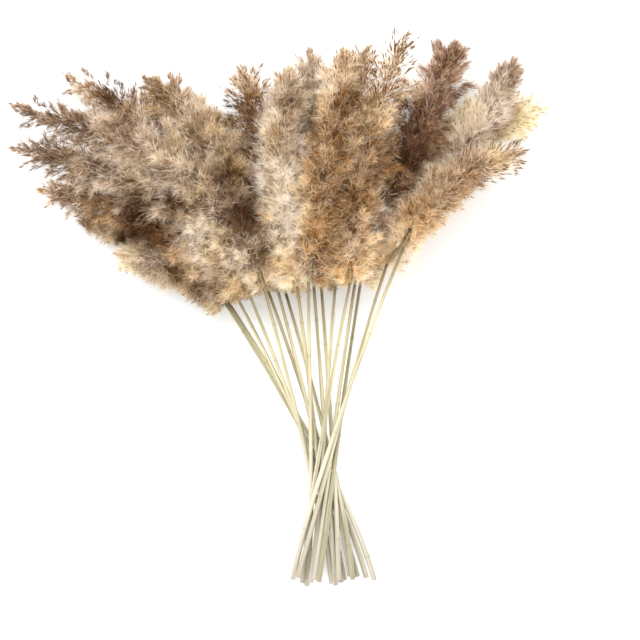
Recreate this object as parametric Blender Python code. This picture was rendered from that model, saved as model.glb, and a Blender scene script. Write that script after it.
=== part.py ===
"""A bunch of dried reeds lying on a table: eighteen straw stems that cross at a waist, each with its plume.

The constants are in millimetres. X is to the right across the bunch, Y runs from the cut ends to the
plumes, and Z is up from the table. The waist, where the stems cross, is the start of X and Y in them.
"""

from dataclasses import dataclass
import math
import random

import bmesh
import bpy
from mathutils import Vector
from mathutils.kdtree import KDTree

MM = 0.001

# The stems: how they fan out from the waist, and how they sit over one another in it.
NECK_ALONG = 165.0      # where a reed's neck is measured, just under the plumes
ARCH_LENGTH = 1650.0    # the longer, the straighter a stem is above the waist
NECK_REACH = NECK_ALONG * (1 + NECK_ALONG / ARCH_LENGTH)
SEAT_FADE = 110.0       # away from the waist, the order in which the stems sit there fades out over this length
CUT_RADIUS = 2.9
TOP_RADIUS = 1.6
STEM_SIDES = 8
STEM_SPANS = 8

# The plumes: a slim body, with locks of fluff that sweep forward and out from it.
PLUME_GAP = 0.3
PLUME_SIDES = 8
PLUME_STATIONS = (0.0, 0.05, 0.13, 0.23, 0.34, 0.45, 0.56, 0.67, 0.78, 0.88, 0.96)
PLUME_FULLNESS = (0.12, 0.62, 0.86, 0.97, 1.00, 1.00, 0.97, 0.91, 0.80, 0.62, 0.33)
BODY_SHARE = 0.58
STATION_TURN = 9.0      # degrees by which each ring of locks is turned from the one below
SWEEP_BASE = -8.0       # degrees forward at which the lowest locks stand out
SWEEP_TIP = 62.0
LOCK_LEAST = 0.92
LOCK_MOST = 1.24
CLEARANCE = 2.0         # between a plume and the middle of the gap to the next reed
AXIS_STEP = 3.0
SHRINK = 0.92
SHRINK_TRIES = 30

STRAW = (0.66, 0.60, 0.40)
TONES = {
    "dark": (0.13, 0.080, 0.048),
    "plum": (0.17, 0.105, 0.074),
    "brown": (0.25, 0.155, 0.090),
    "taupe": (0.37, 0.26, 0.17),
    "gold": (0.38, 0.22, 0.105),
    "tan": (0.47, 0.35, 0.22),
    "cream": (0.66, 0.55, 0.39),
    "yellow": (0.63, 0.52, 0.31),
}


@dataclass(frozen=True)
class Reed:
    """One reed, by the places that it passes, and its plume.

    Attributes:
        waist: How far right it passes the waist.
        neck: How far right its neck is.
        foot: How far right its cut end is.
        seat: How high it sits among the others in the waist.
        climb: How much it rises for each millimetre that it runs.
        cut: How far below the waist its cut end is.
        base: How far above the waist its plume starts.
        tip: Where its plume ends: right, along, and up from the table.
        bow: How far right its plume bows, off the line that its stem takes.
        width: Half the width of its plume.
        tone: The colour of its plume.
        lead: The plume leaves along its stem for this share of its length.
    """

    waist: float
    neck: float
    foot: float
    seat: float
    climb: float
    cut: float
    base: float
    tip: tuple
    bow: float
    width: float
    tone: str
    lead: float = 0.5


REEDS = (
    Reed(8.1, -86.0, 51.7, -13.3, 0.066, 111.0, 195.0, (-222.0, 246.0, 42.0), 0.0, 29.0, "taupe"),
    Reed(14.2, -82.0, 60.5, -10.0, 0.0, 113.0, 197.0, (-264.0, 284.0, 20.0), 6.0, 34.0, "dark"),
    Reed(3.1, -73.0, 41.8, -9.8, 0.135, 110.0, 201.0, (-310.0, 318.0, 66.0), 4.0, 36.0, "brown"),
    Reed(-2.8, -62.0, 27.5, -7.0, 0.201, 114.0, 206.0, (-337.0, 363.0, 90.0), 0.0, 39.0, "taupe"),
    Reed(-9.3, -49.0, 15.4, -4.4, 0.270, 112.0, 212.0, (-335.0, 405.0, 112.0), 0.0, 40.0, "taupe"),
    Reed(11.1, -42.0, 33.0, -5.3, 0.066, 109.0, 208.0, (-281.0, 443.0, 46.0), 12.0, 41.0, "brown"),
    Reed(4.4, -35.0, 23.7, -4.2, 0.139, 116.0, 211.0, (-194.0, 443.0, 72.0), 4.0, 41.0, "tan"),
    Reed(17.7, -26.0, 36.3, -4.5, 0.0, 112.0, 205.0, (-158.0, 427.0, 24.0), 4.0, 38.0, "tan"),
    Reed(-0.3, -19.0, 13.2, -0.7, 0.223, 118.0, 213.0, (-34.0, 449.0, 94.0), -18.0, 33.0, "cream"),
    Reed(-9.7, -12.0, -14.9, 1.2, 0.285, 121.0, 218.0, (28.0, 468.0, 114.0), 26.0, 34.0, "gold"),
    Reed(8.7, -3.0, 17.6, 0.6, 0.095, 119.0, 213.0, (-84.0, 453.0, 80.0), -44.0, 42.0, "brown"),
    Reed(16.0, 5.0, 20.9, 0.8, 0.025, 113.0, 211.0, (-10.0, 473.0, 46.0), 0.0, 40.0, "taupe"),
    Reed(1.6, 13.0, -10.5, 4.7, 0.182, 116.0, 214.0, (52.0, 476.0, 84.0), -14.0, 39.0, "gold"),
    Reed(-5.3, 23.0, -19.8, 6.5, 0.252, 117.0, 217.0, (96.0, 488.0, 104.0), -28.0, 37.0, "gold"),
    Reed(9.0, 31.0, -6.1, 5.9, 0.066, 112.0, 222.0, (149.0, 479.0, 84.0), 35.0, 43.0, "plum"),
    Reed(14.3, 37.0, -1.1, 6.7, -0.015, 114.0, 218.0, (246.0, 410.0, 34.0), 40.0, 40.0, "yellow", 0.68),
    Reed(5.2, 51.0, -24.8, 10.5, 0.106, 110.0, 238.0, (214.0, 462.0, 56.0), 54.0, 23.0, "taupe", 0.59),
    Reed(-0.7, 56.0, -30.3, 11.3, 0.201, 113.0, 256.0, (222.0, 360.0, 84.0), -4.0, 23.0, "brown"),
)


def stem_point(reed, along):
    """The middle of a reed's stem at this distance above the waist, over a waist at height 0."""
    lean = (reed.neck - reed.waist) / NECK_REACH
    if along < 0:
        swing = reed.foot - reed.waist + lean * reed.cut
        right = reed.waist + lean * along + swing * (along / reed.cut) ** 2
    else:
        right = reed.waist + lean * along * (1 + along / ARCH_LENGTH)
    up = reed.climb * along + reed.seat / (1 + (along / SEAT_FADE) ** 2)
    return Vector((right, along, up))


def stem_radius(reed, along):
    """The stem tapers evenly from its cut end to its plume."""
    share = (along + reed.cut) / (reed.base + reed.cut)
    return CUT_RADIUS + share * (TOP_RADIUS - CUT_RADIUS)


def waist_height():
    """The height of the waist that sets the lowest cut end on the table."""
    lowest = min(stem_point(reed, -reed.cut).z for reed in REEDS)
    return CUT_RADIUS - lowest


WAIST_HEIGHT = waist_height()


class Path:
    """A reed's middle line, from its cut end to the tip of its plume, in millimetres."""

    def __init__(self, reed):
        lift = Vector((0, 0, WAIST_HEIGHT))
        self.stem = []
        for step in range(STEM_SPANS + 1):
            along = -reed.cut + (reed.base + reed.cut) * step / STEM_SPANS
            self.stem.append(stem_point(reed, along) + lift)
        top = self.stem[-1]
        heading = (top - stem_point(reed, reed.base - 1) - lift).normalized()
        self.heading = heading
        self.start = top + PLUME_GAP * heading
        self.tip = Vector(reed.tip)
        self.length = (self.tip - self.start).length
        aside = heading.cross(Vector((0, 0, 1))).normalized()
        self.bend = self.start + reed.lead * self.length * heading + reed.bow * aside

    def plume_point(self, share):
        """The point at this share of the plume, from its base to its tip."""
        rest = 1 - share
        return rest * rest * self.start + 2 * rest * share * self.bend + share * share * self.tip

    def plume_heading(self, share):
        """The way that the plume runs there."""
        rest = 1 - share
        return (rest * (self.bend - self.start) + share * (self.tip - self.bend)).normalized()

    def samples(self):
        """Points close together along the whole reed."""
        found = []
        for low, high in zip(self.stem, self.stem[1:]):
            count = max(1, int((high - low).length / AXIS_STEP))
            found += [low.lerp(high, step / count) for step in range(count)]
        count = int(self.length / AXIS_STEP)
        return found + [self.plume_point(step / count) for step in range(count + 1)]


def tree_of(points):
    """A search tree over points."""
    tree = KDTree(len(points))
    for index, point in enumerate(points):
        tree.insert(point, index)
    tree.balance()
    return tree


class Room:
    """The space that one plume may fill: above the table, and nearer to its own reed than to any other."""

    def __init__(self, own, others):
        self.own = tree_of(own)
        self.others = tree_of(others)

    def holds(self, point):
        """Whether the point is in that space."""
        to_own = self.own.find(point)[2]
        to_others = self.others.find(point)[2]
        return point.z >= 0 and to_own + 2 * CLEARANCE < to_others

    def reach(self, start, way):
        """The furthest point towards start + way that is in that space, or on the table."""
        goal = start + way
        if goal.z < 0:
            goal = start + way * (start.z / (start.z - goal.z))
            goal.z = 0
        for _ in range(SHRINK_TRIES):
            if self.holds(goal):
                break
            goal = start.lerp(goal, SHRINK)
        return goal


def ring_frame(heading):
    """Two directions square to the heading, the second one as near to up as it gets."""
    side = heading.cross(Vector((0, 0, 1))).normalized()
    return side, side.cross(heading).normalized()


def ring_direction(side, rise, angle):
    """The direction at this angle round the ring."""
    return side * math.cos(angle) + rise * math.sin(angle)


def ring_edges(bm, points):
    """The edges of a closed ring through the points."""
    made = bmesh.ops.create_circle(bm, cap_ends=False, segments=len(points), radius=1)
    for vert, point in zip(made["verts"], points):
        vert.co = point
    return list({edge for vert in made["verts"] for edge in vert.link_edges})


def tube(bm, rings):
    """A closed tube through rings of points; it returns its side faces and the face at its far end."""
    loops = [ring_edges(bm, points) for points in rings]
    sides = []
    for low, high in zip(loops, loops[1:]):
        sides += bmesh.ops.bridge_loops(bm, edges=low + high)["faces"]
    bmesh.ops.edgeloop_fill(bm, edges=loops[0])
    end = bmesh.ops.edgeloop_fill(bm, edges=loops[-1])["faces"][0]
    bmesh.ops.recalc_face_normals(bm, faces=bm.faces[:])
    return sides, end


def stem_mesh(bm, reed, path):
    """A round stem from the cut end to just under the plume."""
    rings = []
    for index, middle in enumerate(path.stem):
        before = path.stem[max(index - 1, 0)]
        after = path.stem[min(index + 1, STEM_SPANS)]
        side, rise = ring_frame((after - before).normalized())
        radius = stem_radius(reed, middle.y)
        angles = [2 * math.pi * step / STEM_SIDES for step in range(STEM_SIDES)]
        rings.append([middle + radius * ring_direction(side, rise, angle) for angle in angles])
    tube(bm, rings)


def grow_lock(bm, face, tip):
    """Draws a face out to a point, as one lock of fluff."""
    grown = bmesh.ops.extrude_discrete_faces(bm, faces=[face])["faces"][0]
    bmesh.ops.pointmerge(bm, verts=grown.verts[:], merge_co=tip)


def plume_mesh(bm, reed, path, room, chance):
    """The body of a plume, and its locks, each drawn out of one face of the body."""
    rings = []
    for index, (share, fullness) in enumerate(zip(PLUME_STATIONS, PLUME_FULLNESS)):
        middle = path.plume_point(share)
        side, rise = ring_frame(path.plume_heading(share) if index else path.heading)
        radius = BODY_SHARE * reed.width * fullness
        ring = []
        for step in range(PLUME_SIDES):
            angle = math.radians(STATION_TURN * index) + 2 * math.pi * step / PLUME_SIDES
            ring.append(room.reach(middle, radius * ring_direction(side, rise, angle)))
        rings.append(ring)
    sides, end = tube(bm, rings)
    locks = []
    for face in sides:
        foot = face.calc_center_median()
        share = nearest_share(path, foot)
        heading = path.plume_heading(share)
        middle = path.plume_point(share)
        out = (foot - middle) - (foot - middle).dot(heading) * heading
        fullness = fullness_at(share)
        reach = reed.width * fullness * chance.uniform(LOCK_LEAST, LOCK_MOST) - out.length
        sweep = math.radians(SWEEP_BASE + (SWEEP_TIP - SWEEP_BASE) * share)
        way = max(reach, 0.0) * (out.normalized() + math.tan(sweep) * heading)
        locks.append((face, room.reach(foot, way)))
    for face, tip in locks:
        grow_lock(bm, face, tip)
    grow_lock(bm, end, path.tip)
    bmesh.ops.recalc_face_normals(bm, faces=bm.faces[:])


def nearest_share(path, point):
    """The share of the plume that is nearest to a point, to a hundredth."""
    return min((step / 100 for step in range(101)), key=lambda s: (path.plume_point(s) - point).length)


def fullness_at(share):
    """The plume's width there, as a share of its full width."""
    for low in range(len(PLUME_STATIONS) - 1):
        start, end = PLUME_STATIONS[low], PLUME_STATIONS[low + 1]
        if share <= end:
            part = (share - start) / (end - start)
            return PLUME_FULLNESS[low] + part * (PLUME_FULLNESS[low + 1] - PLUME_FULLNESS[low])
    return PLUME_FULLNESS[-1]


def finish_of(name, colour, roughness):
    """A plain finish."""
    material = bpy.data.materials.new(name)
    material.use_nodes = True
    shader = material.node_tree.nodes["Principled BSDF"]
    shader.inputs["Base Color"].default_value = (*colour, 1)
    shader.inputs["Roughness"].default_value = roughness
    shader.inputs["Metallic"].default_value = 0.0
    material.diffuse_color = (*colour, 1)
    return material


def placed(name, bm, origin, material):
    """An object of the mesh, which is in millimetres, with its origin at the given point."""
    for vert in bm.verts:
        vert.co = (vert.co - origin) * MM
    mesh = bpy.data.meshes.new(name)
    bm.to_mesh(mesh)
    bm.free()
    mesh.materials.append(material)
    made = bpy.data.objects.new(name, mesh)
    made.location = origin * MM
    bpy.context.scene.collection.objects.link(made)
    return made


def centre_over(objects):
    """Moves the bunch so that the middle of its box is over the origin."""
    points = [obj.location + vert.co for obj in objects for vert in obj.data.vertices]
    right = [point.x for point in points]
    along = [point.y for point in points]
    middle = Vector((min(right) + max(right), min(along) + max(along), 0)) / 2
    for obj in objects:
        obj.location -= middle


def build():
    """Builds the bunch."""
    for obj in list(bpy.data.objects):
        bpy.data.objects.remove(obj, do_unlink=True)
    straw = finish_of("straw", STRAW, 0.5)
    fluff = {tone: finish_of("fluff_" + tone, colour, 0.9) for tone, colour in TONES.items()}
    paths = [Path(reed) for reed in REEDS]
    samples = [path.samples() for path in paths]
    made = []
    for index, (reed, path) in enumerate(zip(REEDS, paths)):
        number = f"{index + 1:02d}"
        stem = bmesh.new()
        stem_mesh(stem, reed, path)
        made.append(placed("stem_" + number, stem, path.stem[0], straw))
        others = [point for other, found in enumerate(samples) if other != index for point in found]
        plume = bmesh.new()
        plume_mesh(plume, reed, path, Room(samples[index], others), random.Random(index))
        made.append(placed("plume_" + number, plume, path.start, fluff[reed.tone]))
    centre_over(made)


build()
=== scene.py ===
"""The looks of a bunch of dried reeds that lies on a pale floor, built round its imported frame.

Lengths are in millimetres: X runs to the right across the bunch, Y from the cut ends to the plumes, and Z up
from the floor, with the waist, where the stems cross, at X and Y zero. A mesh turns to metres, over the
middle of the frame, when its piece is made.
"""

from dataclasses import dataclass
from enum import Enum
import logging
import math

import bmesh
import bpy
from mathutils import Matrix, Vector
import numpy as np


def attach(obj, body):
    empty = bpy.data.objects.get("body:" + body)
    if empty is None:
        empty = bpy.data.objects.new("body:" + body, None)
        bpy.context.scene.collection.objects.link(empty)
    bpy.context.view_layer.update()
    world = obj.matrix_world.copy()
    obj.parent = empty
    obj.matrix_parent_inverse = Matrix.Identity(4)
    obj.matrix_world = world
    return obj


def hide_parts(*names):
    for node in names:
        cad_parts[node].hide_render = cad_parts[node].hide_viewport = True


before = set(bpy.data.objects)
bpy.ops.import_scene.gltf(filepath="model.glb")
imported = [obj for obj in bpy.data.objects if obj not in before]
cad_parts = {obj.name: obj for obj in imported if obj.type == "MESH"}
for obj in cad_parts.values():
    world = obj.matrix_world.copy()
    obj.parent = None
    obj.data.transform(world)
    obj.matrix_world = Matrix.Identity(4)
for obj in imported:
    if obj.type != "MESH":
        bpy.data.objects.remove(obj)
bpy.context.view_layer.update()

Array = np.ndarray
Colour = tuple[float, float, float]

MM = 0.001
BODY = "root"
MIDDLE = Vector((-44.1644, 184.8959, 0.0))     # the frame's origin is under this point
LOG = logging.getLogger("reeds")

# How the stems fan out from the waist, and how they sit over one another in it.
NECK_ALONG = 165.0
ARCH_LENGTH = 1650.0
NECK_REACH = NECK_ALONG * (1 + NECK_ALONG / ARCH_LENGTH)
SEAT_FADE = 110.0
CUT_RADIUS = 2.9
TOP_RADIUS = 1.6

# How a plume runs on from its stem, and how wide it is along its length.
PLUME_GAP = 0.3
PLUME_STATIONS = (0.0, 0.05, 0.13, 0.23, 0.34, 0.45, 0.56, 0.67, 0.78, 0.88, 0.96, 1.0)
PLUME_FULLNESS = (0.12, 0.62, 0.86, 0.97, 1.00, 1.00, 0.97, 0.91, 0.80, 0.62, 0.33, 0.06)
GOLDEN_TURN = math.pi * (3 - math.sqrt(5))

# How far forward fluff sweeps along a plume, in degrees, and the share of the plume where its tip starts.
SWEEP = (-8.0, 62.0)
TIP_START = 0.7

# The lowest part of an axis shows between the hairs. Fluff lies at least a little above the floor.
PARTING_LENGTH = 32.0
PARTING_WIDTH = 5.5
LEAST_HEIGHT = 0.4

# The parts of an axis: their ends, as shares of the plume's length, how pale they are, and their hue.
STRAW = 3.0
AXIS_PARTS = ((-0.002, 0.16, 0.9, STRAW), (0.16, 0.97, 0.25, None))

# Where along a plume its reed's own shades are, and how the whole bunch varies them. A wave says how fast it turns
# across, along and up, and where it starts.
SHADE_STATIONS = (0.0, 0.18, 0.66, 0.97)
MOTTLE = 0.02
MOTTLE_WAVES = ((0.085, 0.03, 0.0, 0.0), (-0.05, 0.075, 0.0, 1.7), (0.06, 0.0, 0.11, 0.6))

# The hues are plain, ginger and mauve fluff, and straw. Fluff turns from ginger to mauve about the middle distance
# from the waist, in patches.
HUES = 4
GREYING_MIDDLE = 345.0
GREYING_RANGE = 110.0
GINGER_ABOVE = 1.2
MAUVE_BELOW = -1.0
HUE_DEPTH = 0.8
HUE_WAVES = ((0.11, 0.05, 0.0, 0.6), (-0.07, 0.09, 0.0, 2.1), (0.08, 0.0, 0.13, 4.0))

# A stem's cut end, and where its joints, its grain and its olive side, partly its own green and partly painted
# shade, are from one stem to the next.
LIP = 0.4
CHAMFER = 0.1
BORE_END = 0.9
JOINT_START = 22.0
JOINT_SHIFT = 37.0
JOINT_RANGE = 70.0
JOINT_END = 30.0
JOINT_CLEAR = 3.52
GRAIN_SHIFT = 5.0
GRAIN_STRETCH = 0.012
OLIVE_SIDE_SHIFT = 0.618

# The radii of a branch's ends and of an axis's tip, and how far branches reach, as shares of the half width.
BRANCH_RADII = (0.55, 0.2)
AXIS_END = 0.35
REACHES = (0.45, 0.97)

# The hairs: how far apart a wisp's roots are, the sizes of stray and inner hairs, and those at a plume's very tip.
ROOT_RANGE = 1.8
STRAY_LENGTHS = (10.0, 21.0)
STRAY_WIDTH = 0.42
FILL_LENGTH = 17.0
FILL_WIDTH = 1.5
LEADERS = 30
LEADER_STRANDS = 14
LEADER_LENGTH = 6.5
LEADER_WIDTH = 0.55

# Where along a plume its tip gets bare, and how much a branch, a husk, a wisp and a hair differ in shade.
BARE_START = 0.5
BARE_LENGTH = 0.3
CASTS = (0.08, 0.04, 0.12, 0.05)

# The rings at a joint: how far up from its middle, how swollen and how brown, as shares.
JOINT_RINGS = ((-1.0, 0.0, 0.0), (-0.35, 0.7, 0.4), (0.0, 1.0, 1.0), (0.3, 0.8, 0.3), (1.2, 0.0, 0.0))

# Where the bunch is darker or paler than its reeds are: right, along, radius, and how much paler. The dark patches
# are painted shade in the valleys between and under plumes; the pale ones are partly bleached fluff and partly
# painted light on lit puffs.
PAINTED_SHADE_AND_LIGHT_PATCHES = (
    (-80, 286, 21, -1.00), (-97, 325, 16, -0.62), (-60, 240, 15, -0.84), (-168, 272, 18, -0.70),
    (-154, 303, 11, -0.86), (-204, 270, 14, -0.94), (-126, 208, 19, -0.60), (-154, 232, 11, -0.62),
    (-194, 300, 14, -0.60), (-223, 433, 14, -0.62), (-210, 382, 14, -0.36), (-99, 408, 15, -0.80),
    (-118, 330, 15, -0.42), (-46, 364, 21, -0.40), (-40, 438, 17, -0.26), (88, 350, 22, -0.36),
    (88, 402, 12, -0.80), (156, 414, 13, -0.82), (190, 381, 13, -0.70), (29, 412, 13, -0.46),
    (38, 296, 18, -0.34), (-28, 286, 17, 0.80), (-40, 225, 22, 0.66), (-24, 326, 13, 0.80),
    (34, 213, 22, 0.70), (8, 426, 17, 0.60), (82, 444, 26, 0.44), (110, 430, 16, 0.60),
    (64, 396, 18, 0.50), (82, 252, 18, 1.00), (66, 281, 13, 0.90), (-216, 248, 12, 0.86),
    (192, 350, 16, 0.66), (-238, 264, 19, 0.84), (172, 398, 14, 0.80), (-134, 251, 18, 0.50),
    (-84, 431, 12, 0.50), (-145, 403, 14, 0.36), (-262, 428, 13, 0.62), (-30, 405, 16, -0.44),
)


@dataclass(frozen=True)
class Shades:
    """The colours of one kind of fluff, from its deepest to its palest.

    Attributes:
        deep: The dry husks, and painted shade at the roots of the hairs and in the dark valleys.
        warm: The inner hairs, partly darker as painted shade deep in the plume.
        light: The outer hairs.
        pale: The ends of the palest hairs.
    """

    deep: Colour
    warm: Colour
    light: Colour
    pale: Colour


class Tone(Enum):
    """The kinds of fluff."""

    DARK = ("fluff_dark", 0.0, 1.1, Shades(
        (0.070, 0.030, 0.012), (0.28, 0.155, 0.072), (0.56, 0.41, 0.26), (0.80, 0.69, 0.54)))
    PLUM = ("fluff_plum", 0.0, 1.5, Shades(
        (0.072, 0.029, 0.016), (0.28, 0.140, 0.070), (0.62, 0.43, 0.29), (0.86, 0.73, 0.58)))
    BROWN = ("fluff_brown", 0.3, 1.2, Shades(
        (0.078, 0.032, 0.012), (0.40, 0.240, 0.120), (0.77, 0.60, 0.41), (0.94, 0.86, 0.70)))
    TAUPE = ("fluff_taupe", -0.6, 1.0, Shades(
        (0.080, 0.033, 0.012), (0.43, 0.300, 0.185), (0.80, 0.685, 0.51), (0.96, 0.91, 0.79)))
    GOLD = ("fluff_gold", 0.0, 1.5, Shades(
        (0.080, 0.032, 0.011), (0.42, 0.225, 0.085), (0.81, 0.64, 0.41), (0.97, 0.91, 0.76)))
    TAN = ("fluff_tan", 0.0, 1.0, Shades(
        (0.080, 0.032, 0.011), (0.46, 0.305, 0.160), (0.84, 0.72, 0.53), (0.97, 0.92, 0.80)))
    CREAM = ("fluff_cream", -0.8, 1.3, Shades(
        (0.085, 0.037, 0.014), (0.58, 0.42, 0.25), (0.95, 0.86, 0.67), (1.00, 0.98, 0.90)))
    YELLOW = ("fluff_yellow", 0.0, 1.0, Shades(
        (0.22, 0.135, 0.055), (0.70, 0.56, 0.31), (0.92, 0.82, 0.56), (0.98, 0.94, 0.76)))

    def __init__(self, slot: str, ginger: float, spread: float, shades: Shades) -> None:
        """Keeps what one row says.

        Args:
            slot: The slot of the fluff.
            ginger: How much it leans to ginger, or to mauve if below 0.
            spread: How much its hairs differ.
            shades: Its shades.
        """
        self.slot = slot
        self.ginger = ginger
        self.spread = spread
        self.shades = shades


@dataclass(frozen=True)
class Reed:
    """One reed, by the places that it passes, and its plume.

    Attributes:
        waist: How far right it passes the waist.
        neck: How far right its neck is.
        foot: How far right its cut end is.
        seat: How high it sits among the others in the waist.
        climb: How much it rises for each millimetre that it runs.
        cut: How far below the waist its cut end is.
        base: How far above the waist its plume starts.
        tip: Where its plume ends: right, along, and up from the floor.
        bow: How far right its plume bows, off the line that its stem takes.
        width: Half the width of its plume.
        tone: The kind of its fluff.
        low: How pale the fluff is low in the plume, from 0 to 1.
        mid: How pale the fluff is half way.
        high: How pale the fluff is at its tip.
        thick: The share of the hairs that it has kept.
        bare: The share of the hairs that its tip has lost.
        soft: The length of the hairs at its tip, as a share of the others'.
        lead: The plume leaves along its stem for this share of its length.
    """

    waist: float
    neck: float
    foot: float
    seat: float
    climb: float
    cut: float
    base: float
    tip: tuple[float, float, float]
    bow: float
    width: float
    tone: Tone
    low: float
    mid: float
    high: float
    thick: float = 0.95
    bare: float = 0.1
    soft: float = 0.7
    lead: float = 0.5


REEDS = (
    Reed(8.1, -86, 51.7, -13.3, 0.066, 111, 195, (-222, 246, 42), 0, 29,
         Tone.TAUPE, 0.82, 0.55, 0.80, thick=0.75),
    Reed(14.2, -82, 60.5, -10, 0, 113, 197, (-264, 284, 20), 6, 26,
         Tone.DARK, 0.62, 0.38, 0.34, thick=0.75),
    Reed(3.1, -73, 41.8, -9.8, 0.135, 110, 201, (-310, 318, 66), 4, 36,
         Tone.BROWN, 0.78, 0.42, 0.44, thick=0.85, bare=0.5),
    Reed(-2.8, -62, 27.5, -7, 0.201, 114, 206, (-337, 363, 90), 0, 39,
         Tone.TAUPE, 0.88, 0.66, 0.26, bare=0.32, soft=0.85),
    Reed(-9.3, -49, 15.4, -4.4, 0.270, 112, 212, (-335, 405, 112), 0, 40,
         Tone.TAUPE, 0.80, 0.66, 0.26, bare=0.32, soft=0.85),
    Reed(11.1, -42, 33, -5.3, 0.066, 109, 208, (-281, 443, 46), 12, 41,
         Tone.BROWN, 0.72, 0.62, 0.25, thick=0.85, bare=0.3),
    Reed(4.4, -35, 23.7, -4.2, 0.139, 116, 211, (-194, 443, 72), 4, 41,
         Tone.TAN, 0.58, 0.62, 0.38),
    Reed(17.7, -26, 36.3, -4.5, 0, 112, 205, (-158, 427, 24), 4, 38,
         Tone.TAN, 0.52, 0.60, 0.38, thick=0.75),
    Reed(-0.3, -19, 13.2, -0.7, 0.223, 118, 213, (-34, 449, 94), -18, 33,
         Tone.CREAM, 0.98, 0.90, 0.60),
    Reed(-9.7, -12, -14.9, 1.2, 0.285, 121, 218, (28, 468, 114), 26, 34,
         Tone.GOLD, 0.56, 0.48, 0.66, bare=0.3),
    Reed(8.7, -3, 17.6, 0.6, 0.095, 119, 213, (-84, 453, 80), -44, 42,
         Tone.BROWN, 0.70, 0.50, 0.46, bare=0.5),
    Reed(16, 5, 20.9, 0.8, 0.025, 113, 211, (-10, 473, 46), 0, 40,
         Tone.TAUPE, 0.58, 0.64, 0.62, thick=0.75, soft=0.9),
    Reed(1.6, 13, -10.5, 4.7, 0.182, 116, 214, (52, 476, 84), -14, 39,
         Tone.GOLD, 0.60, 0.48, 0.66, bare=0.65),
    Reed(-5.3, 23, -19.8, 6.5, 0.252, 117, 217, (96, 488, 104), -28, 37,
         Tone.GOLD, 0.70, 0.48, 0.60, bare=0.9),
    Reed(9, 31, -6.1, 5.9, 0.066, 112, 222, (149, 479, 84), 35, 43,
         Tone.PLUM, 0.84, 0.40, 0.60, soft=0.95),
    # Set near its palest, partly as painted light where the plumes about it shade it.
    Reed(14.3, 37, -1.1, 6.7, -0.015, 114, 218, (246, 410, 34), 40, 40,
         Tone.YELLOW, 0.95, 0.98, 0.92, lead=0.68),
    Reed(5.2, 51, -24.8, 10.5, 0.106, 110, 238, (214, 462, 56), 54, 23,
         Tone.TAUPE, 0.92, 0.86, 0.50, thick=0.75, soft=0.9, lead=0.59),
    Reed(-0.7, 56, -30.3, 11.3, 0.201, 113, 256, (222, 360, 84), -4, 23,
         Tone.BROWN, 0.84, 0.52, 0.66, bare=0.85, soft=0.9),
)


class Value:
    """A shader socket that takes part in Python arithmetic, where each operation adds a Math node."""

    def __init__(self, graph: "Graph", socket: bpy.types.NodeSocket) -> None:
        """Keeps the socket, and the graph that it belongs to."""
        self.graph = graph
        self.socket = socket

    def __add__(self, other: "Value | float") -> "Value":
        """The sum."""
        return self.graph.maths("ADD", self, other)

    def __sub__(self, other: "Value | float") -> "Value":
        """The difference."""
        return self.graph.maths("SUBTRACT", self, other)

    def __rsub__(self, other: float) -> "Value":
        """The difference, with a number first."""
        return self.graph.maths("SUBTRACT", other, self)

    def __mul__(self, other: "Value | float") -> "Value":
        """The product."""
        return self.graph.maths("MULTIPLY", self, other)

    __radd__ = __add__
    __rmul__ = __mul__


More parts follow.
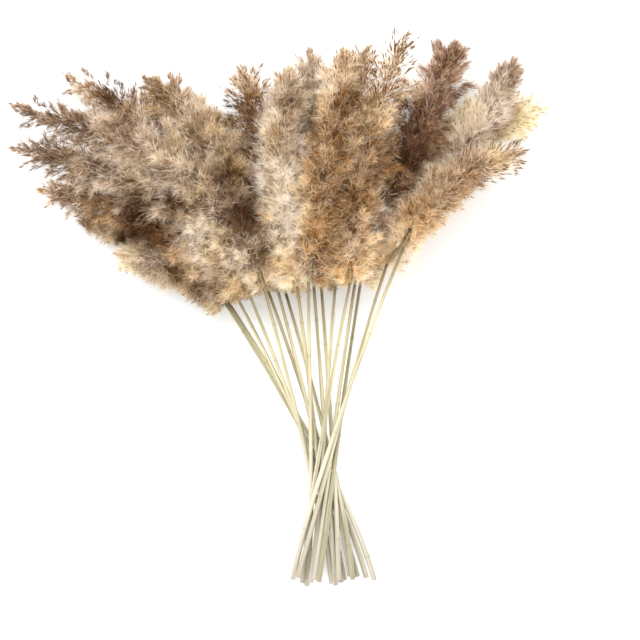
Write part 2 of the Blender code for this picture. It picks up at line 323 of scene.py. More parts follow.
class Graph:
    """The nodes of one material."""

    def __init__(self, name: str) -> None:
        """Makes the material.

        Args:
            name: Its name.
        """
        self.material = bpy.data.materials.new(name)
        self.material.use_nodes = True
        self.tree = self.material.node_tree
        self.shader = self.tree.nodes["Principled BSDF"]

    def join(self, socket: bpy.types.NodeSocket, value: object) -> None:
        """Links a socket to a value, or sets it to a number, a vector or a colour.

        Args:
            socket: The input.
            value: A Value, a number, or a tuple.
        """
        if isinstance(value, Value):
            self.tree.links.new(value.socket, socket)
        elif isinstance(value, tuple) and len(value) == 3 and socket.type == "RGBA":
            socket.default_value = (*value, 1.0)
        else:
            socket.default_value = value

    def node(self, kind: str, settings: dict, inputs: dict, output: int | str = 0) -> Value:
        """Adds a node.

        Args:
            kind: Its type.
            settings: Its own properties, with a ramp's stops under "stops" as (place, colour) pairs.
            inputs: The values or links of its sockets, by name or number.
            output: The output that is wanted.

        Returns:
            That output.
        """
        made = self.tree.nodes.new(kind)
        for name, setting in settings.items():
            if name == "stops":
                self.set_stops(made.color_ramp, setting)
            else:
                setattr(made, name, setting)
        for name, value in inputs.items():
            self.join(made.inputs[name], value)
        return Value(self, made.outputs[output])

    def set_stops(self, ramp: bpy.types.ColorRamp, stops: tuple) -> None:
        """Gives a ramp its stops.

        Args:
            ramp: The ramp.
            stops: The stops, as (place, colour) pairs in rising order.
        """
        while len(ramp.elements) < len(stops):
            ramp.elements.new(1.0)
        for element, (place, colour) in zip(ramp.elements, stops):
            element.position = place
            element.color = (*colour, 1.0)

    def maths(self, operation: str, *operands: "Value | float") -> Value:
        """The result of one Math node."""
        return self.node("ShaderNodeMath", {"operation": operation}, dict(enumerate(operands)))

    def ramp(self, place: Value, stops: tuple) -> Value:
        """The colour of a ramp at a place."""
        return self.node("ShaderNodeValToRGB", {"stops": stops}, {"Fac": place})

    def mix(self, share: "Value | float", first: "Value | Colour", second: "Value | Colour") -> Value:
        """The colour between two others, which is the first at a share of 0 and the second at 1."""
        return self.node("ShaderNodeMix", {"data_type": "RGBA"}, {0: share, 6: first, 7: second}, 2)

    def noise(self, place: Value, scale: float, detail: float) -> Value:
        """The strength of a noise at a place."""
        return self.node("ShaderNodeTexNoise", {}, {"Vector": place, "Scale": scale, "Detail": detail})

    def rise(self, value: Value, low: float, high: float) -> Value:
        """0 up to the low value, 1 from the high one, and evenly more between them."""
        return self.node("ShaderNodeMapRange", {}, {"Value": value, "From Min": low, "From Max": high}, "Result")

    def parts(self, vector: Value) -> tuple[Value, ...]:
        """The three parts of a vector."""
        first = self.node("ShaderNodeSeparateXYZ", {}, {"Vector": vector})
        return tuple(Value(self, part) for part in first.socket.node.outputs)

    def feed(self, **inputs: object) -> None:
        """Sets or links the shader's sockets, with an underscore for each space in a name."""
        for name, value in inputs.items():
            self.join(self.shader.inputs[name.replace("_", " ")], value)


@dataclass(frozen=True)
class FluffFinish:
    """Silky hairs and dry husks, whose place in the shades is written on each one.

    Attributes:
        tone: The kind of fluff.
        places: Where its four shades are, from 0 to 1.
        lift: How much paler a hair's end is than its root, partly its own colour and partly painted light through
            the tips.
        roughness: The roughness of the hairs.
        gloss: The strength of their shine.
        through: The share of the light that passes through a hair.
        plain: The tint of plain fluff.
        ginger: The tint of ginger fluff.
        mauve: The tint of mauve fluff.
        straw: The tint of the bare axis.
    """

    tone: Tone
    places: tuple[float, ...] = (0.0, 0.36, 0.70, 1.0)
    lift: float = 0.42
    roughness: float = 0.72
    gloss: float = 0.06
    through: float = 0.45
    plain: Colour = (0.99, 0.975, 0.95)
    ginger: Colour = (1.00, 0.885, 0.68)
    mauve: Colour = (0.95, 0.915, 0.955)
    straw: Colour = (0.64, 0.60, 0.37)

    def material(self) -> bpy.types.Material:
        """Makes the material, which reads a hair's shade, its hue and the place along it from the hair's own map.

        Returns:
            The material.
        """
        graph = Graph(self.tone.slot)
        shade, band, _ = graph.parts(graph.node("ShaderNodeUVMap", {"uv_map": "OFBake"}, {}))
        banded = HUES * band
        hue = graph.maths("FLOOR", banded)
        along = banded - hue
        shades = self.tone.shades
        stops = tuple(zip(self.places, (shades.deep, shades.warm, shades.light, shades.pale)))
        step = 1 / (HUES - 1)
        tints = enumerate((self.plain, self.ginger, self.mauve, self.straw))
        tint = graph.ramp(hue * step, tuple((step * order, colour) for order, colour in tints))
        # Paler hair ends: partly the hairs' own colour, partly painted light standing in for light through the
        # tips.
        lift = self.lift * graph.maths("MINIMUM", 0.15 + 1.7 * shade, 1.0)
        shaded = graph.ramp(shade + (along - 0.5) * lift, stops)
        colour = graph.node("ShaderNodeVectorMath", {"operation": "MULTIPLY"}, {0: shaded, 1: tint})
        roughness = self.roughness + (0.5 - along) * 0.1
        graph.feed(Base_Color=colour, Roughness=roughness, Specular_IOR_Level=self.gloss)
        through = graph.node("ShaderNodeBsdfTranslucent", {}, {"Color": colour})
        opaque = Value(graph, graph.shader.outputs[0])
        thin = graph.node("ShaderNodeMixShader", {}, {0: self.through, 1: opaque, 2: through})
        graph.join(graph.tree.nodes["Material Output"].inputs["Surface"], thin)
        return graph.material


@dataclass(frozen=True)
class StrawFinish:
    """A dry, hollow straw stem: pale, with streaks along it, an olive side that is partly its own green and partly
    painted shade, faint joints and a darker neck.

    Attributes:
        heights: Where it is ash, pale, yellow and neck, as shares of its height.
        ash: The colour that it has faded to low down.
        pale: The colour of its clean side.
        yellow: The colour of its clean side below the neck.
        neck: The colour close to the plume.
        olive: The colour of its olive side, partly green and partly painted shade.
        brown: The colour of its joints and of its darkest streaks.
        relief: The depth of its grain, in metres.
    """

    heights: tuple[float, ...] = (0.0, 0.36, 0.80, 0.99)
    ash: Colour = (0.43, 0.385, 0.32)
    pale: Colour = (0.56, 0.515, 0.39)
    yellow: Colour = (0.58, 0.52, 0.31)
    neck: Colour = (0.17, 0.13, 0.065)
    olive: Colour = (0.25, 0.225, 0.125)
    brown: Colour = (0.15, 0.11, 0.065)
    relief: float = 0.0004

    def material(self) -> bpy.types.Material:
        """Makes the material, which reads where it is on the stem from the stem's own attributes.

        Returns:
            The material.
        """
        graph = Graph("straw")
        place = graph.node("ShaderNodeAttribute", {"attribute_name": "grain"}, {}, "Vector")
        marks = graph.node("ShaderNodeAttribute", {"attribute_name": "marks"}, {}, "Vector")
        height, joint, olive_side = graph.parts(marks)
        fine = graph.noise(place, 5.0, 6.0)
        clean = graph.ramp(height, tuple(zip(self.heights, (self.ash, self.pale, self.yellow, self.neck))))
        # One side of the stem turns olive: partly the straw's own green, partly painted shade on its darker side.
        side = graph.rise(graph.noise(place, 0.7, 2.0), 0.43, 0.57)
        olive_shaded = graph.mix(side * (0.30 + 0.65 * olive_side), clean, self.olive)
        streak = graph.rise(graph.noise(place, 1.6, 3.0), 0.52, 0.68)
        grained = graph.mix(streak * (0.15 + 0.75 * height * height), olive_shaded, self.brown)
        graph.feed(
            Base_Color=graph.mix(joint * 0.35, grained, self.brown),
            Roughness=0.44 + 0.3 * fine,
            Normal=graph.node("ShaderNodeBump", {}, {"Height": fine, "Strength": 0.35, "Distance": self.relief}),
            Specular_IOR_Level=0.4,
        )
        return graph.material


@dataclass(frozen=True)
class FloorFinish:
    """A matt, pale studio floor."""

    colour: Colour = (0.90, 0.90, 0.895)

    def material(self) -> bpy.types.Material:
        """Makes the material, with the faintest mottle.

        Returns:
            The material.
        """
        graph = Graph("pale_floor")
        place = graph.node("ShaderNodeTexCoord", {}, {}, "Object")
        soft = tuple(0.985 * part for part in self.colour)
        mottled = graph.mix(graph.noise(place, 3.0, 4.0), soft, self.colour)
        graph.feed(Base_Color=mottled, Roughness=0.9, Specular_IOR_Level=0.2)
        return graph.material


def unit(vectors: Array) -> Array:
    """The vectors, each with length 1."""
    return vectors / np.maximum(np.linalg.norm(vectors, axis=-1, keepdims=True), 1e-9)


def around(side: Array, rise: Array, angle: Array) -> Array:
    """The ways out at angles round an axis, from two ways that are square to it."""
    return side * np.cos(angle) + rise * np.sin(angle)


def within(ends: tuple[float, float], share: Array) -> Array:
    """The values at shares of the way from one end of a range to the other."""
    return ends[0] + (ends[1] - ends[0]) * share


def tip_part(share: Array) -> Array:
    """How far into the tip each share of a plume's length is, from 0 to 1."""
    return np.clip((share - TIP_START) / (1 - TIP_START), 0, 1)


def ripple(points: Array, waves: tuple) -> Array:
    """The sum of the waves at each point."""
    return sum(np.sin(points @ np.array(turns) + start) for *turns, start in waves)


def stem_point(reed: Reed, along: float) -> Vector:
    """Works out the middle of a stem, over a waist at height 0.

    Args:
        reed: The reed.
        along: The distance above the waist.

    Returns:
        The middle there.
    """
    lean = (reed.neck - reed.waist) / NECK_REACH
    if along < 0:
        swing = reed.foot - reed.waist + lean * reed.cut
        right = reed.waist + lean * along + swing * (along / reed.cut) ** 2
    else:
        right = reed.waist + lean * along * (1 + along / ARCH_LENGTH)
    up = reed.climb * along + reed.seat / (1 + (along / SEAT_FADE) ** 2)
    return Vector((right, along, up))


WAIST_HEIGHT = CUT_RADIUS - min(stem_point(reed, -reed.cut).z for reed in REEDS)


class Line:
    """The middle line of one reed: its stem, and then its plume."""

    def __init__(self, reed: Reed) -> None:
        """Works out where the plume starts, bends and ends.

        Args:
            reed: The reed.
        """
        self.reed = reed
        top = self.stem(reed.base)
        heading = (top - self.stem(reed.base - 1)).normalized()
        start = top + PLUME_GAP * heading
        tip = Vector(reed.tip)
        self.length = (tip - start).length
        aside = heading.cross(Vector((0, 0, 1))).normalized()
        bend = start + reed.lead * self.length * heading + reed.bow * aside
        self.start, self.bend, self.tip = (np.array(point) for point in (start, bend, tip))

    def stem(self, along: float) -> Vector:
        """The middle of the stem at this distance above the waist."""
        return stem_point(self.reed, along) + Vector((0, 0, WAIST_HEIGHT))

    def point(self, share: Array) -> Array:
        """The middle of the plume at each share of its length."""
        part = np.asarray(share)[..., None]
        return (1 - part) ** 2 * self.start + 2 * (1 - part) * part * self.bend + part**2 * self.tip

    def frame(self, share: Array) -> tuple[Array, Array, Array]:
        """The plume's directions at each share of its length.

        Args:
            share: The shares.

        Returns:
            The way it runs, and the two ways square to that, the second as near to up as it gets.
        """
        part = np.asarray(share)[..., None]
        heading = unit((1 - part) * (self.bend - self.start) + part * (self.tip - self.bend))
        side = unit(np.cross(heading, (0.0, 0.0, 1.0)))
        return heading, side, np.cross(side, heading)


class Bundle:
    """Many small shapes, gathered as arrays into one mesh of triangles."""

    def __init__(self, ginger: float, chance: np.random.Generator) -> None:
        """Starts with no shapes.

        Args:
            ginger: How much the fluff leans to ginger.
            chance: The source of the random draws.
        """
        self.ginger = ginger
        self.chance = chance
        self.points: list[Array] = []
        self.marks: list[Array] = []
        self.corners: list[Array] = []
        self.count = 0

    def hue(self, places: Array) -> Array:
        """Chooses the hue of fluff, in patches with loose edges.

        Args:
            places: Where the fluff is.

        Returns:
            0 for plain, 1 for ginger or 2 for mauve at each place.
        """
        warmth = HUE_DEPTH * ripple(places, HUE_WAVES) + self.ginger + self.chance.normal(0, 1.0, len(places))
        warmth += (GREYING_MIDDLE - np.hypot(places[:, 0], places[:, 1])) / GREYING_RANGE
        return 1.0 * (warmth > GINGER_ABOVE) + 2.0 * (warmth < MAUVE_BELOW)

    def add(self, points: Array, marks: Array, corners: tuple, hue: float | None = None) -> None:
        """Adds copies of one small shape.

        Args:
            points: The points of each copy, as copies by points by 3.
            marks: The shade and the place along it of each point, as copies by points by 2.
            corners: The triangles of the shape, by the numbers of its points.
            hue: The hue of all copies, where it isn't the fluff's own.
        """
        copies, size, _ = points.shape
        first = self.count + size * np.arange(copies)[:, None, None]
        self.corners.append((np.array(corners)[None] + first).reshape(-1, 3))
        self.points.append(points.reshape(-1, 3))
        marks = np.clip(marks, 0.01, 0.99)
        hues = self.hue(points[:, 0]) if hue is None else np.full(copies, hue)
        marks[..., 1] = (marks[..., 1] + hues[:, None]) / HUES
        self.marks.append(marks.reshape(-1, 2))
        self.count += copies * size

    def mesh(self, name: str) -> bpy.types.Mesh:
        """Makes the mesh, in metres in the frame, with the marks as its map.

        Args:
            name: Its name.

        Returns:
            The mesh.
        """
        points = np.concatenate(self.points)
        points[:, 2] = np.maximum(points[:, 2], LEAST_HEIGHT)
        points = (points - np.array(MIDDLE)) * MM
        corners = np.concatenate(self.corners)
        made = bpy.data.meshes.new(name)
        made.vertices.add(len(points))
        made.vertices.foreach_set("co", points.ravel())
        made.loops.add(corners.size)
        made.loops.foreach_set("vertex_index", corners.ravel())
        made.polygons.add(len(corners))
        made.polygons.foreach_set("loop_start", 3 * np.arange(len(corners)))
        made.update(calc_edges=True)
        marks = np.concatenate(self.marks)[corners.ravel()]
        layer = made.uv_layers.new(name="OFBake")
        layer.data.foreach_set("uv", marks.ravel())
        return made


def show(name: str, mesh: bpy.types.Mesh, material: bpy.types.Material) -> bpy.types.Object:
    """Puts a mesh in the scene.

    Args:
        name: The name of the piece.
        mesh: Its mesh, already in place.
        material: Its finish.

    Returns:
        The object, with its origin at the frame's.
    """
    mesh.materials.append(material)
    made = bpy.data.objects.new(name, mesh)
    bpy.context.scene.collection.objects.link(made)
    return made


@dataclass
class Stem:
    """One straw stem, hollow at its cut end, with the joints of a reed.

    Attributes:
        number: Which reed it belongs to, from 1.
        reed: That reed.
        sides: How many sides it has.
        step: The length between its rings.
        bore: The share of its radius that is hollow.
        bore_depth: How deep the hollow shows.
        joint_gap: The length between its joints.
        joint_swell: How much thicker it is at a joint.
        joint_length: Half the length of that swelling.
    """

    number: int
    reed: Reed
    sides: int = 16
    step: float = 11.0
    bore: float = 0.62
    bore_depth: float = 9.0
    joint_gap: float = 108.0
    joint_swell: float = 0.13
    joint_length: float = 2.2

    def __post_init__(self) -> None:
        """Works out the middle line."""
        self.line = Line(self.reed)

    def joints(self) -> list[float]:
        """Where the joints are, as distances above the waist."""
        first = -self.reed.cut + JOINT_START + (self.number * JOINT_SHIFT) % JOINT_RANGE
        return [float(place) for place in np.arange(first, self.reed.base - JOINT_END, self.joint_gap)]

    def stations(self) -> list[tuple[float, float, float]]:
        """Where the rings are.

        Returns:
            For each ring its distance above the waist, its swelling and how much it is on a joint.
        """
        joints = self.joints()
        count = round((self.reed.cut + self.reed.base) / self.step)
        plain = np.linspace(-self.reed.cut + LIP, self.reed.base, count + 1)
        found = [(float(p), 0.0, 0.0) for p in plain if all(abs(p - joint) > JOINT_CLEAR for joint in joints)]
        for joint in joints:
            for away, swell, mark in JOINT_RINGS:
                found.append((joint + away * self.joint_length, swell * self.joint_swell, mark))
        return sorted(found)

    def ring(self, bm: bmesh.types.BMesh, along: float, radius: float, mark: float, back: float = 0.0) -> list:
        """One ring of the stem.

        Args:
            bm: The mesh that it goes in.
            along: Its distance above the waist.
            radius: Its radius.
            mark: How much it is on a joint.
            back: How far up the bore it is.

        Returns:
            Its edges.
        """
        middle = self.line.stem(along + back)
        heading = (self.line.stem(along + back + 1) - middle).normalized()
        side = heading.cross(Vector((0, 0, 1))).normalized()
        rise = side.cross(heading)
        made = bmesh.ops.create_circle(bm, cap_ends=False, segments=self.sides, radius=1)["verts"]
        grain = bm.verts.layers.float_vector["grain"]
        marks = bm.verts.layers.float_vector["marks"]
        share = (along + back + self.reed.cut) / (self.reed.base + self.reed.cut)
        for step, vert in enumerate(made):
            angle = 2 * math.pi * step / self.sides
            across = math.cos(angle) * side + math.sin(angle) * rise
            vert.co = (middle + radius * across - MIDDLE) * MM
            shift = GRAIN_SHIFT * self.number
            vert[grain] = (math.cos(angle) + shift, math.sin(angle), GRAIN_STRETCH * along)
            vert[marks] = (share, mark, (self.number * OLIVE_SIDE_SHIFT) % 1.0)
        return list(dict.fromkeys(edge for vert in made for edge in vert.link_edges))

    def build(self, material: bpy.types.Material) -> bpy.types.Object:
        """Makes the stem.

        Args:
            material: Its finish.

        Returns:
            The piece.
        """
        bm = bmesh.new()
        bm.verts.layers.float_vector.new("grain")
        bm.verts.layers.float_vector.new("marks")
        cut = -self.reed.cut
        length = self.reed.base + self.reed.cut
        loops = [
            self.ring(bm, cut, self.bore * CUT_RADIUS * BORE_END, 1.0, self.bore_depth),
            self.ring(bm, cut, self.bore * CUT_RADIUS, 0.9),
            self.ring(bm, cut, (1 - CHAMFER) * CUT_RADIUS, 0.5),
        ]
        for along, swell, mark in self.stations():
            radius = CUT_RADIUS + (along - cut) / length * (TOP_RADIUS - CUT_RADIUS)
            loops.append(self.ring(bm, along, radius * (1 + swell), mark))
        for low, high in zip(loops, loops[1:]):
            bmesh.ops.bridge_loops(bm, edges=low + high)
        bmesh.ops.edgeloop_fill(bm, edges=loops[0])
        bmesh.ops.edgeloop_fill(bm, edges=loops[-1])
        bmesh.ops.recalc_face_normals(bm, faces=bm.faces[:])
        for face in bm.faces:
            face.smooth = True
        mesh = bpy.data.meshes.new(f"straw_stem_{self.number:02d}")
        bm.to_mesh(mesh)
        bm.free()
        piece = show(mesh.name, mesh, material)
        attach(piece, BODY)
        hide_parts(f"stem_{self.number:02d}")
        return piece


@dataclass
class Plume:
    """One plume: an axis, fine branches, dry husks along them, and silky hairs about each husk.

    Attributes:
        number: Which reed it belongs to, from 1.
        reed: That reed.
        branches: How many branches it has, each one a puff of fluff.
        husks: How many husks each branch carries.
        wisps: How many wisps of hair grow about each husk.
        strands: How many hairs each wisp has.
        fill: How many inner hairs close its heart.
        strays: How many long hairs stand out all over it.
        husk_length: The length of a husk.
        husk_width: The width of a husk.
        hair_length: The usual length of a hair.
        hair_width: The width of a hair at its widest.
        curved: The share of the hairs that curve.
        tuft: How far the husks stand off their branch.
    """

    number: int
    reed: Reed
    branches: int = 54
    husks: int = 18
    wisps: int = 8
    strands: int = 5
    fill: int = 1800
    strays: int = 1400
    husk_length: float = 6.0
    husk_width: float = 1.15
    hair_length: float = 12.6
    hair_width: float = 0.46
    curved: float = 0.15
    tuft: float = 13.0

    def __post_init__(self) -> None:
        """Works out the middle line, and starts the random draws and the mesh."""
        self.line = Line(self.reed)
        self.chance = np.random.default_rng(self.number)
        self.bundle = Bundle(self.reed.tone.ginger, self.chance)

    def noise(self, *shape: int) -> Array:
        """Random vectors of about length 1, as an array of this shape by 3."""
        return self.chance.normal(0, 0.58, (*shape, 3))

    def across(self, way: Array, out: Array) -> Array:
        """The ways across hairs, square to the way they grow and loosely so to the way out."""
        return unit(np.cross(way, unit(out + 0.9 * self.noise(len(way)))))

    def half_width(self, share: Array) -> Array:
        """Half the plume's width at each share of its length."""
        return self.reed.width * np.interp(share, PLUME_STATIONS, PLUME_FULLNESS)

    def shade(self, share: Array) -> Array:
        """How pale the fluff is at each share of the plume's length."""
        return np.interp(share, SHADE_STATIONS, (self.reed.low, self.reed.low, self.reed.mid, self.reed.high))

    def mottle_and_painted_shading(self, points: Array) -> Array:
        """Works out how the whole bunch varies the shade: a loose mottle, and patches of painted shade and painted
        light.

        Args:
            points: Where the fluff is.

        Returns:
            How much paler it is at each point.
        """
        paler = MOTTLE * ripple(points, MOTTLE_WAVES)
        # The dark patches are painted shade between the plumes; the pale ones are partly painted light on lit
        # puffs.
        for right, along, radius, much in PAINTED_SHADE_AND_LIGHT_PATCHES:
            away = (points[..., 0] - right) ** 2 + (points[..., 1] - along) ** 2
            paler = paler + much * np.exp(-away / radius**2)
        return paler

    def tip_bareness(self, share: Array) -> Array:
        """The share of the hairs that are missing at each share of the plume's length."""
        return self.reed.bare * np.clip((share - BARE_START) / BARE_LENGTH, 0, 1)

    def hides_axis(self, root: Array, way: Array, length: Array) -> Array:
        """Which hairs or husks would lie over the lowest part of the axis, where it shows.

        Args:
            root: Where they start.
            way: The way they point.
            length: Their lengths.

        Returns:
            True for each one that would.
        """
        heading, side, _ = (axis[0] for axis in self.line.frame(np.zeros(1)))
        hides = np.zeros(length.shape, bool)
        for part in (0.0, 0.5, 0.9):
            away = root + part * length[..., None] * way - self.line.point(np.zeros(1))[0]
            along = away @ heading
            half = PARTING_WIDTH * (1 - along / PARTING_LENGTH)
            hides |= (away[..., 2] > along * heading[2]) & (np.abs(away @ side) < half)
        return hides

    def grow_branches(self) -> None:
        """Works out where the branches start, bend and end."""
        order = np.arange(self.branches)
        pick = self.chance.random
        share = 0.01 + 0.97 * ((order + pick(self.branches)) / self.branches) ** 0.9
        heading, side, rise = self.line.frame(share)
        angle = (order * GOLDEN_TURN + self.chance.normal(0, 0.25, self.branches))[:, None]
        out = around(side, rise, angle)
        reach = (self.half_width(share) * within(REACHES, pick(self.branches) ** 0.7))[:, None]
        forward = np.radians(within(SWEEP, share) + self.chance.normal(0, 8, self.branches))
        ahead = np.tan(forward) * (0.60 - 0.30 * tip_part(share))
        self.end = self.line.point(share) + reach * (out + ahead[:, None] * heading)
        self.foot = self.line.point(np.maximum(share - 0.04 - 0.14 * pick(self.branches), 0.0))
        span = np.linalg.norm(self.end - self.foot, axis=1, keepdims=True)
        self.bend = self.foot + 0.5 * span * heading + 0.22 * reach * out
        self.share = share
        self.out = out
        self.cast = self.chance.normal(0, CASTS[0], self.branches)

    def on_branch(self, place: Array) -> tuple[Array, Array]:
        """The points and directions of all branches.

        Args:
            place: The places along each branch, from 0 to 1, as branches by places.

        Returns:
            The points and the directions there.
        """
        part = place[..., None]
        foot, bend, end = (corner[:, None] for corner in (self.foot, self.bend, self.end))
        point = (1 - part) ** 2 * foot + 2 * (1 - part) * part * bend + part**2 * end
        return point, unit((1 - part) * (bend - foot) + part * (end - bend))

    def add_tubes(self, points: Array, radii: Array, shade: float, sides: int, hue: float | None = None) -> None:
        """Adds thin tubes.

        Args:
            points: Their middle lines, as tubes by stations by 3.
            radii: Their radii at the stations.
            shade: Their shade.
            sides: How many sides each has.
            hue: Their hue, where it isn't the fluff's own.
        """
        tubes, stations, _ = points.shape
        heading = unit(np.gradient(points, axis=1))
        side = unit(np.cross(heading, (0.0, 0.0, 1.0)))[:, :, None]
        rise = np.cross(side[:, :, 0], heading)[:, :, None]
        angle = (2 * math.pi * np.arange(sides) / sides)[None, None, :, None]
        ring = points[:, :, None] + radii[None, :, None, None] * around(side, rise, angle)
        marks = np.empty((tubes, stations, sides, 2))
        marks[..., 0] = shade + 0.006 * np.arange(sides)
        marks[..., 1] = np.linspace(0.3, 0.6, stations)[None, :, None]
        corners = []
        for low in range(stations - 1):
            for one in range(sides):
                two = (one + 1) % sides
                a, b = low * sides + one, low * sides + two
                corners += [(a, b, b + sides), (a, b + sides, a + sides)]
        self.bundle.add(ring.reshape(tubes, -1, 3), marks.reshape(tubes, -1, 2), tuple(corners), hue)

    def add_axis(self) -> None:
        """Adds the plume's axis and its branches."""
        for low, high, shade, hue in AXIS_PARTS:
            share = np.linspace(low, high, 12)
            radii = np.interp(share, (0.0, 1.0), (TOP_RADIUS, AXIS_END))
            self.add_tubes(self.line.point(share)[None], radii, shade, 6, hue)
        place = np.linspace(0, 1, 6)
        points = self.on_branch(np.tile(place, (self.branches, 1)))[0]
        self.add_tubes(points, np.interp(place, (0, 1), BRANCH_RADII), 0.40, 3)

    def add_husks(self, point: Array, way: Array, length: Array, shade: Array) -> None:
        """Adds husks, each a slim body with three sides and two points.

        Args:
            point: Where they start.
            way: The way they point.
            length: Their lengths.
            shade: Their shades.
        """
        count = len(point)
        side = unit(np.cross(way, unit(self.noise(count))))
        rise = np.cross(side, way)
        middle = point + 0.4 * length[:, None] * way
        wide = 0.5 * self.husk_width * (length / self.husk_length)[:, None]
        corners = [point]
        for turn in range(3):
            angle = 2 * math.pi * turn / 3
            corners.append(middle + wide * (math.cos(angle) * side + math.sin(angle) * rise))
        corners.append(point + length[:, None] * way)
        marks = np.empty((count, 5, 2))
        marks[..., 0] = shade[:, None] + np.array((0.0, -0.006, 0.0, 0.006, 0.0))
        marks[..., 1] = np.array((0.35, 0.45, 0.45, 0.45, 0.6))
        faces = ((0, 2, 1), (0, 3, 2), (0, 1, 3), (4, 1, 2), (4, 2, 3), (4, 3, 1))
        self.bundle.add(np.stack(corners, axis=1), marks, faces)

    def add_hairs(self, root: Array, way: Array, out: Array, length: Array, width: float, shade: Array) -> None:
        """Adds curved hairs, each a slim blade of two triangles with its face turned outwards.

        Args:
            root: Where they grow.
            way: The way they grow.
            out: The way out of the plume there.
            length: Their lengths.
            width: Their width at the widest.
            shade: Their shades.
        """
        count = len(root)
        span = length[:, None]
        across = self.across(way, out)
        curl = unit(np.cross(across, way)) * self.chance.normal(0.05, 0.11, count)[:, None]
        middle = root + span * (0.42 * way + curl)
        tip = root + span * way
        half = 0.5 * width * across
        left, right = middle - half, middle + half
        facing = np.einsum("ij,ij->i", np.cross(right - root, left - root), out) > 0
        flip = ~facing[:, None]
        left, right = np.where(flip, right, left), np.where(flip, left, right)
        marks = np.empty((count, 4, 2))
        marks[..., 0] = shade[:, None] + np.array((0.0, -0.006, 0.006, 0.0))
        marks[..., 1] = np.array((0.02, 0.45, 0.45, 0.98))
        self.bundle.add(np.stack((root, left, right, tip), axis=1), marks, ((0, 2, 1), (1, 2, 3)))

    def add_spikes(self, root: Array, way: Array, out: Array, length: Array, width: float, shade: Array) -> None:
        """Adds straight hairs, each one slim triangle with its face turned inwards.

        Args:
            root: Where they grow.
            way: The way they grow.
            out: The way out of the plume there.
            length: Their lengths.
            width: Their width at the root.
            shade: Their shades.
        """
        count = len(root)
        across = self.across(way, out)
        half = 0.5 * width * across
        facing = np.einsum("ij,ij->i", np.cross(half, way), out) < 0
        half = np.where(facing[:, None], half, -half)
        tip = root + length[:, None] * way
        marks = np.empty((count, 3, 2))
        marks[..., 0] = shade[:, None] + np.array((-0.006, 0.006, 0.0))
        marks[..., 1] = np.array((0.02, 0.02, 0.98))
        self.bundle.add(np.stack((root - half, root + half, tip), axis=1), marks, ((0, 1, 2),))

    def add_fluff(self) -> None:
        """Adds the husks on each branch, and the wisps of hair about each husk."""
        shape = (self.branches, self.husks)
        pick = self.chance.random
        place = np.minimum(0.20 + 0.82 * (np.arange(self.husks) + pick(shape)) / self.husks, 1.0)
        point, way = self.on_branch(place)
        late = tip_part(self.share)[:, None]
        off = unit(np.cross(way, self.noise(*shape)))
        body = np.sin(np.pi * place**0.8) * 0.85 + 0.15
        stand = body * np.sqrt(pick(shape))
        point = point + (self.tuft * (1 - 0.36 * late) * stand)[..., None] * off
        out = np.broadcast_to(self.out[:, None], point.shape)
        ahead = self.line.frame(self.share)[0][:, None]
        lean = ((0.7 - 0.4 * late) * stand)[..., None] * off
        way = unit(way + lean + 0.22 * out + 0.20 * ahead + 0.26 * self.noise(*shape))
        near = 1 - (1 - self.reed.soft) * late
        bare = self.tip_bareness(self.share)[:, None]
        length = self.husk_length * (0.75 + 0.4 * pick(shape)) * (1 + 0.5 * bare)
        # Darker towards a branch's foot, deep in the plume: partly its dark husks, partly painted shade in the
        # plume's heart.
        tone = self.shade(self.share)[:, None] + self.cast[:, None] + 0.16 * (place - 0.55)
        tone = tone + self.mottle_and_painted_shading(point) + self.chance.normal(0, CASTS[1], shape)
        lifted = point + (0.6 * self.hair_length * near * (pick(shape) < 0.45))[..., None] * unit(way + 0.5 * out)
        seen = ~self.hides_axis(lifted, way, length)
        self.add_husks(lifted[seen], way[seen], length[seen], (0.34 * tone - 0.05)[seen])
        self.add_wisps(point, way, out, length, tone)

    def add_wisps(self, point: Array, way: Array, out: Array, length: Array, tone: Array) -> None:
        """Adds the wisps of hair about the husks, each value as branches by husks.

        Args:
            point: Where the husks start.
            way: The way they point.
            out: The way out of the plume there.
            length: Their lengths.
            tone: How pale the fluff is there.
        """
        pick = self.chance.random
        wisp = (*point.shape[:2], self.wisps, 1)
        crowd = (*point.shape[:2], self.wisps, self.strands)
        way, out = way[:, :, None, None], out[:, :, None, None]
        late = tip_part(self.share)[:, None, None, None]
        near = 1 - (1 - self.reed.soft) * late
        up_husk = (length[..., None, None] * (0.05 + 0.75 * pick(wisp)))[..., None] * way
        root = point[:, :, None, None] + up_husk + ROOT_RANGE * self.noise(*crowd)
        common = way + (0.95 - 0.40 * late)[..., None] * self.noise(*wisp) + 0.22 * out
        spread = unit(unit(common) + 0.52 * self.noise(*crowd))
        hair = self.hair_length * near * (0.65 + 0.5 * pick(wisp)) * (0.75 + 0.4 * pick(crowd))
        cast = self.chance.normal(0, CASTS[2], wisp) + self.chance.normal(0, CASTS[3], crowd)
        shade = tone[..., None, None] + self.reed.tone.spread * cast
        kept = self.reed.thick * near * (1 - self.tip_bareness(self.share)[:, None, None, None])
        keep = (pick(crowd) < kept) & ~self.hides_axis(root, spread, hair)
        out = np.broadcast_to(out, root.shape)
        curved = pick(crowd) < self.curved
        for chosen, add in ((keep & curved, self.add_hairs), (keep & ~curved, self.add_spikes)):
            add(root[chosen], spread[chosen], out[chosen], hair[chosen], self.hair_width, shade[chosen])

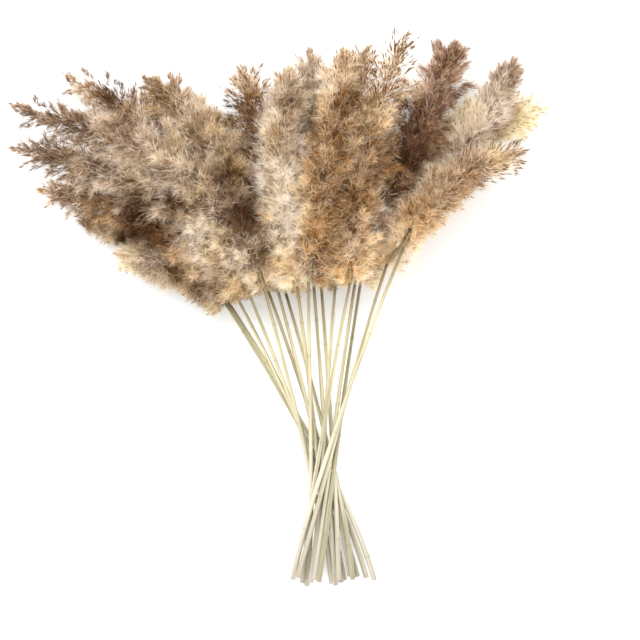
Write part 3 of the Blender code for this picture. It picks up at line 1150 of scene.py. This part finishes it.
    def about_axis(self, count: int, ends: tuple[float, float], depths: tuple[float, float]) -> tuple:
        """Picks places all round the plume's axis.

        Args:
            count: How many.
            ends: The lowest and highest share of the plume's length.
            depths: The least and greatest distance from the axis, as shares of the plume's half width.

        Returns:
            The share, the point, the way out and the way along at each place.
        """
        share = within(ends, self.chance.random(count))
        heading, side, rise = self.line.frame(share)
        angle = (2 * math.pi * self.chance.random(count))[:, None]
        out = around(side, rise, angle)
        depth = within(depths, self.chance.random(count)) * self.half_width(share)
        return share, self.line.point(share) + depth[:, None] * out, out, heading

    def add_fill(self) -> None:
        """Adds the inner hairs that close the heart of the plume, darkened as painted shade."""
        share, root, out, heading = self.about_axis(self.fill, (0.02, 0.90), (0.03, 0.40))
        forward = within(SWEEP, share)[:, None] / 90.0
        way = unit(out * (1 - forward) + heading * (0.35 + forward) + 0.8 * self.noise(self.fill))
        length = FILL_LENGTH * (0.7 + 0.5 * self.chance.random(self.fill)) * (1 - 0.4 * tip_part(share))
        keep = self.chance.random(self.fill) > 0.8 * self.tip_bareness(share)
        keep &= ~self.hides_axis(root, way, length)
        # The inner hairs are darker than the fluff about them: painted shade in the plume's heart.
        shade = 0.66 * (self.shade(share) + self.mottle_and_painted_shading(root)) - 0.02
        shade += self.chance.normal(0, 0.06, self.fill)
        self.add_hairs(root[keep], way[keep], out[keep], length[keep], FILL_WIDTH, shade[keep])

    def add_strays(self) -> None:
        """Adds the long fine hairs that stand out all over the plume."""
        share, root, out, heading = self.about_axis(self.strays, (0.03, 0.97), (0.45, 0.92))
        way = unit(0.8 * out + (0.3 + 0.8 * share)[:, None] * heading + 0.9 * self.noise(self.strays))
        length = within(STRAY_LENGTHS, self.chance.random(self.strays)) * np.interp(share, (0, 0.6, 1), (1, 1, 0.5))
        keep = self.chance.random(self.strays) > self.tip_bareness(share)
        keep &= ~self.hides_axis(root, way, length)
        shade = self.shade(share) + 0.12 + self.mottle_and_painted_shading(root) + self.chance.normal(0, 0.08, self.strays)
        self.add_hairs(root[keep], way[keep], out[keep], length[keep], STRAY_WIDTH, shade[keep])

    def add_leader(self) -> None:
        """Adds the husks that close the very tip of the plume."""
        share = np.linspace(0.84, 0.99, LEADERS)
        heading, side, rise = self.line.frame(share)
        out = around(side, rise, (np.arange(LEADERS) * GOLDEN_TURN)[:, None])
        way = unit(heading + 0.45 * out + 0.15 * self.noise(LEADERS))
        root = self.line.point(share) + 0.8 * out
        length = np.linspace(8.0, 6.0, LEADERS)
        shade = self.shade(share)
        self.add_husks(root, way, length, 0.3 * shade - 0.03 + self.chance.normal(0, 0.03, LEADERS))
        hairs = LEADERS * LEADER_STRANDS
        root, way, out, shade = (
            np.repeat(one, LEADER_STRANDS, axis=0) for one in (root + 2.0 * way, way, out, 0.9 * shade)
        )
        way = unit(way + 0.6 * self.noise(hairs))
        shade = shade + self.chance.normal(0, 0.09, hairs)
        length = LEADER_LENGTH * (0.6 + 0.6 * self.chance.random(hairs))
        self.add_hairs(root, way, out, length, LEADER_WIDTH, shade)

    def build(self, material: bpy.types.Material) -> bpy.types.Object:
        """Makes the plume.

        Args:
            material: Its finish.

        Returns:
            The piece.
        """
        self.grow_branches()
        self.add_axis()
        self.add_fluff()
        self.add_fill()
        self.add_strays()
        self.add_leader()
        name = f"reed_plume_{self.number:02d}"
        piece = show(name, self.bundle.mesh(name), material)
        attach(piece, BODY)
        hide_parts(f"plume_{self.number:02d}")
        return piece


@dataclass
class Studio:
    """The floor, the light and the camera, which looks straight down.

    Attributes:
        floor_size: Half the width of the floor, in metres.
        sky: The strength of the even white light from all round.
        key_power: The power of the large lamp, in watts.
        key_place: Where that lamp stands, in metres.
        key_size: Its width, in metres.
        view_width: The width that the camera takes in, in metres.
        view_height: The height above the floor at which it does, in metres.
        view_middle: The point that it looks at, to the right of and beyond the waist, in millimetres.
        lens: Its focal length, in millimetres.
    """

    floor_size: float = 8.0
    sky: float = 1.62
    key_power: float = 46.0
    key_place: tuple[float, float, float] = (-0.5, 1.1, 2.2)
    key_size: float = 1.4
    view_width: float = 0.704
    view_height: float = 0.07
    view_middle: tuple[float, float] = (0.0, 176.0)
    lens: float = 200.0

    def lay_floor(self) -> None:
        """Makes the floor."""
        bm = bmesh.new()
        bmesh.ops.create_grid(bm, x_segments=8, y_segments=8, size=self.floor_size)
        mesh = bpy.data.meshes.new("studio_floor")
        bm.to_mesh(mesh)
        bm.free()
        floor = show("studio_floor", mesh, FloorFinish().material())

    def set_lights(self) -> None:
        """Makes the even light and the large lamp."""
        world = bpy.data.worlds.new("studio")
        world.use_nodes = True
        light = world.node_tree.nodes["Background"].inputs
        light["Color"].default_value = (1.0, 1.0, 1.0, 1.0)
        light["Strength"].default_value = self.sky
        bpy.context.scene.world = world
        lamp = bpy.data.lights.new("key", "AREA")
        lamp.energy = self.key_power
        lamp.size = self.key_size
        key = bpy.data.objects.new("key", lamp)
        key.location = self.key_place
        key.rotation_euler = (-Vector(self.key_place)).to_track_quat("-Z", "Y").to_euler()
        bpy.context.scene.collection.objects.link(key)

    def set_camera(self) -> None:
        """Makes the camera."""
        data = bpy.data.cameras.new("camera")
        data.lens = self.lens
        distance = self.view_width * self.lens / data.sensor_width
        camera = bpy.data.objects.new("camera", data)
        over = (Vector((*self.view_middle, 0.0)) - MIDDLE) * MM
        camera.location = (over.x, over.y, self.view_height + distance)
        bpy.context.scene.collection.objects.link(camera)
        bpy.context.scene.camera = camera

    def build(self) -> None:
        """Sets up the studio."""
        self.lay_floor()
        self.set_lights()
        self.set_camera()
        bpy.context.scene.view_settings.view_transform = "Standard"


def main() -> None:
    """Builds the studio and the bunch, reed by reed."""
    logging.basicConfig(level=logging.INFO, format="%(name)s: %(message)s")
    Studio().build()
    straw = StrawFinish().material()
    fluff = {tone: FluffFinish(tone).material() for tone in Tone}
    for number, reed in enumerate(REEDS, start=1):
        for piece in (Stem(number, reed).build(straw), Plume(number, reed).build(fluff[reed.tone])):
            LOG.info("%s: %d faces", piece.name, len(piece.data.polygons))


if __name__ == "__main__":
    main()
